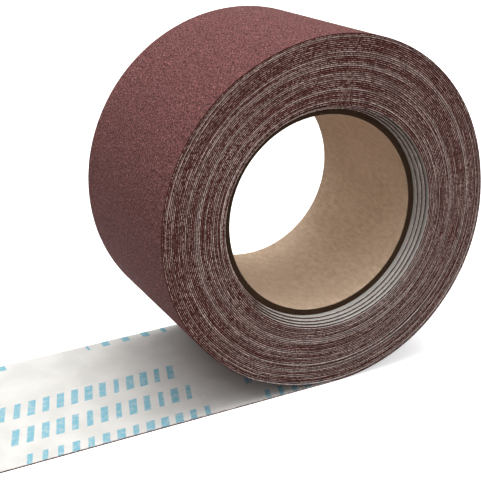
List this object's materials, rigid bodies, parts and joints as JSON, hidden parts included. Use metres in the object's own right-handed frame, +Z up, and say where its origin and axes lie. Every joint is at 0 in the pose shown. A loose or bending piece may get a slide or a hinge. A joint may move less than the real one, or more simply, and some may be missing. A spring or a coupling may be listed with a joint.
{
  "type": "abrasive cloth roll",
  "caption": "Roll of coated abrasive cloth wound grit side out on a paper core, with loose inner wraps and a flexing free end that lies flat on the bench.",
  "frame": {"origin": "centre of the paper core's bore", "axes": "+Y along the bore, +Z up, strip leaves the bottom of the roll towards -X"},
  "size_m": [0.2205, 0.08, 0.135],
  "materials": {
    "abrasive_coat": "matte",
    "cloth_backing": "matte",
    "kraft_paper": "matte",
    "core_board": "matte"
  },
  "bodies": {
    "wound_strip": {"wound_cloth": "cloth_backing", "wound_grit": "abrasive_coat"},
    "inner_wrap_3": {"inner_wrap_3_cloth": "cloth_backing", "inner_wrap_3_grit": "abrasive_coat"},
    "inner_wrap_2": {"inner_wrap_2_cloth": "cloth_backing", "inner_wrap_2_grit": "abrasive_coat"},
    "inner_wrap_1": {"inner_wrap_1_cloth": "cloth_backing", "inner_wrap_1_grit": "abrasive_coat"},
    "core": {"core_liner_ply": "kraft_paper", "core_body_ply_1": "core_board", "core_body_ply_2": "core_board", "core_body_ply_3": "core_board", "core_body_ply_4": "core_board", "core_outer_ply": "kraft_paper"},
    "tail_1": {"tail_1_cloth": "cloth_backing", "tail_1_grit": "abrasive_coat"},
    "tail_2": {"tail_2_cloth": "cloth_backing", "tail_2_grit": "abrasive_coat"},
    "tail_3": {"tail_3_cloth": "cloth_backing", "tail_3_grit": "abrasive_coat"},
    "tail_4": {"tail_4_cloth": "cloth_backing", "tail_4_grit": "abrasive_coat"},
    "tail_5": {"tail_5_cloth": "cloth_backing", "tail_5_grit": "abrasive_coat"},
    "tail_6": {"tail_6_cloth": "cloth_backing", "tail_6_grit": "abrasive_coat"},
    "tail_7": {"tail_7_cloth": "cloth_backing", "tail_7_grit": "abrasive_coat"},
    "tail_8": {"tail_8_cloth": "cloth_backing", "tail_8_grit": "abrasive_coat"}
  },
  "joints": [
    {"name": "inner_wrap_3_slide", "type": "slide", "parent": "wound_strip", "child": "inner_wrap_3", "axis": [0, 1, 0], "range_m": [-0.001, 0.003]},
    {"name": "inner_wrap_2_slide", "type": "slide", "parent": "inner_wrap_3", "child": "inner_wrap_2", "axis": [0, 1, 0], "range_m": [-0.001, 0.003]},
    {"name": "inner_wrap_1_slide", "type": "slide", "parent": "inner_wrap_2", "child": "inner_wrap_1", "axis": [0, 1, 0], "range_m": [-0.001, 0.003]},
    {"name": "core_turn", "type": "hinge", "parent": "inner_wrap_1", "child": "core", "pos_m": [0, 0, 0], "axis": [0, 1, 0], "continuous": true},
    {"name": "tail_1_curl", "type": "hinge", "parent": "wound_strip", "child": "tail_1", "pos_m": [-0.009, 0, -0.06692], "axis": [0, 1, 0], "range_deg": [0, 14.8]},
    {"name": "tail_2_curl", "type": "hinge", "parent": "tail_1", "child": "tail_2", "pos_m": [-0.027, 0, -0.06692], "axis": [0, 1, 0], "range_deg": [0, 14.8]},
    {"name": "tail_3_curl", "type": "hinge", "parent": "tail_2", "child": "tail_3", "pos_m": [-0.045, 0, -0.06692], "axis": [0, 1, 0], "range_deg": [0, 14.8]},
    {"name": "tail_4_curl", "type": "hinge", "parent": "tail_3", "child": "tail_4", "pos_m": [-0.063, 0, -0.06692], "axis": [0, 1, 0], "range_deg": [0, 14.8]},
    {"name": "tail_5_curl", "type": "hinge", "parent": "tail_4", "child": "tail_5", "pos_m": [-0.081, 0, -0.06692], "axis": [0, 1, 0], "range_deg": [0, 14.8]},
    {"name": "tail_6_curl", "type": "hinge", "parent": "tail_5", "child": "tail_6", "pos_m": [-0.099, 0, -0.06692], "axis": [0, 1, 0], "range_deg": [0, 14.8]},
    {"name": "tail_7_curl", "type": "hinge", "parent": "tail_6", "child": "tail_7", "pos_m": [-0.117, 0, -0.06692], "axis": [0, 1, 0], "range_deg": [0, 14.8]},
    {"name": "tail_8_curl", "type": "hinge", "parent": "tail_7", "child": "tail_8", "pos_m": [-0.135, 0, -0.06692], "axis": [0, 1, 0], "range_deg": [0, 14.8]}
  ],
  "couplings": [
    {"joint": "inner_wrap_2_slide", "follows": "inner_wrap_3_slide", "ratio": 1},
    {"joint": "inner_wrap_1_slide", "follows": "inner_wrap_3_slide", "ratio": 1},
    {"joint": "tail_2_curl", "follows": "tail_1_curl", "ratio": 1},
    {"joint": "tail_3_curl", "follows": "tail_1_curl", "ratio": 1},
    {"joint": "tail_4_curl", "follows": "tail_1_curl", "ratio": 1},
    {"joint": "tail_5_curl", "follows": "tail_1_curl", "ratio": 1},
    {"joint": "tail_6_curl", "follows": "tail_1_curl", "ratio": 1},
    {"joint": "tail_7_curl", "follows": "tail_1_curl", "ratio": 1},
    {"joint": "tail_8_curl", "follows": "tail_1_curl", "ratio": 1}
  ]
}
